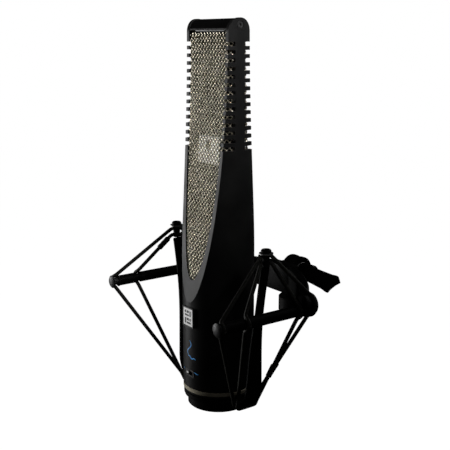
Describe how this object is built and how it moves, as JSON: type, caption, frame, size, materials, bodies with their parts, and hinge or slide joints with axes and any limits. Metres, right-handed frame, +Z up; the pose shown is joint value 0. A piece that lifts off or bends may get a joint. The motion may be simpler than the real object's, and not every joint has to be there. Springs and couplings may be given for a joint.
{
  "type": "ribbon microphone in shock mount",
  "caption": "Tall black side-address ribbon microphone with scooped mesh faces, hung by elastic bands in a forked yoke with a tilting stand socket.",
  "frame": {"origin": "centre of the stand socket's mouth, at its lower face", "axes": "+Z up along the microphone and the stand, -Y out of the microphone's front face, +X to the right seen from the front"},
  "size_m": [0.1782, 0.1605, 0.3203],
  "materials": {
    "satin_black": "satin enamel over brass",
    "mount_black": "fine satin powder coat",
    "black_plastic": "moulded satin plastic",
    "wire": "woven wire, lacquered warm silver",
    "champagne": "fine turned, champagne anodised",
    "bright_metal": "polished nickel",
    "dark_metal": "blackened steel",
    "brass": "machined",
    "elastic": "round elastic cord, matt",
    "rubber": "moulded rubber, matt",
    "board": "solder mask",
    "magnet": "plated magnet",
    "ribbon": "corrugated foil",
    "label": "lacquered pale plate"
  },
  "bodies": {
    "stand_adapter": {"swivel_base": "mount_black", "thread_insert": "brass"},
    "yoke": {"yoke_block": "mount_black", "yoke_arm_left": "mount_black", "yoke_arm_right": "mount_black", "rod_left": "mount_black", "rod_right": "mount_black", "rod_cap_left": "bright_metal", "rod_cap_right": "bright_metal", "rod_screw_left": "dark_metal", "rod_screw_right": "dark_metal", "clamp_bolt": "dark_metal", "clamp_washer": "bright_metal", "band_outer_left": "elastic", "band_outer_right": "elastic", "band_inner_left": "elastic", "band_inner_right": "elastic"},
    "clamp_lever": {"clamp_lever": "mount_black"},
    "cradle": {"cradle_plate": "mount_black", "cradle_arm_left": "mount_black", "cradle_arm_right": "mount_black", "arm_hook_left": "mount_black", "arm_hook_right": "mount_black", "hook_washer_left": "bright_metal", "hook_washer_right": "bright_metal", "hook_screw_left": "mount_black", "hook_screw_right": "mount_black"},
    "microphone": {"body_shell": "satin_black", "head_bar": "satin_black", "head_screw_left": "dark_metal", "head_screw_right": "dark_metal", "grille_basket": "wire", "motor_frame": "magnet", "magnet_left": "magnet", "magnet_right": "magnet", "ribbon_clamp_bottom": "bright_metal", "ribbon_clamp_top": "bright_metal", "ribbon": "ribbon", "chassis_base": "dark_metal", "chassis_frame": "dark_metal", "motor_isolator": "rubber", "output_transformer": "dark_metal", "circuit_board": "board", "capacitor": "bright_metal", "amplifier_can": "bright_metal", "base_ring": "champagne", "base_collar": "satin_black", "connector_insert": "black_plastic", "connector_pin_1": "brass", "connector_pin_2": "brass", "connector_pin_3": "brass", "badge_rim": "black_plastic", "badge_plate": "label", "switch_bezel": "black_plastic"},
    "ring_nut": {"ring_nut": "mount_black"},
    "filter_switch": {"filter_switch": "black_plastic"}
  },
  "joints": [
    {"name": "tilt", "type": "hinge", "parent": "stand_adapter", "child": "yoke", "pos_m": [0, 0, 0.0388], "axis": [1, 0, 0], "range_deg": [-90, 15]},
    {"name": "clamp_lever_turn", "type": "hinge", "parent": "yoke", "child": "clamp_lever", "pos_m": [0.02, 0, 0.0388], "axis": [1, 0, 0], "range_deg": [-180, 0]},
    {"name": "suspension_float", "type": "slide", "parent": "yoke", "child": "cradle", "axis": [0, 0, 1], "range_m": [-0.004, 0.004], "stiffness_N_per_m": 4000, "springref_m": 0.0041, "deforming": ["band_outer_left", "band_outer_right", "band_inner_left", "band_inner_right"]},
    {"name": "mic_turn", "type": "hinge", "parent": "cradle", "child": "microphone", "pos_m": [0, -0.086, 0], "axis": [0, 0, 1], "continuous": true},
    {"name": "ring_nut_turn", "type": "hinge", "parent": "cradle", "child": "ring_nut", "pos_m": [0, -0.086, -0.06], "axis": [0, 0, 1], "continuous": true},
    {"name": "filter_switch_slide", "type": "slide", "parent": "microphone", "child": "filter_switch", "axis": [1, 0, 0], "range_m": [0, 0.0048]}
  ]
}
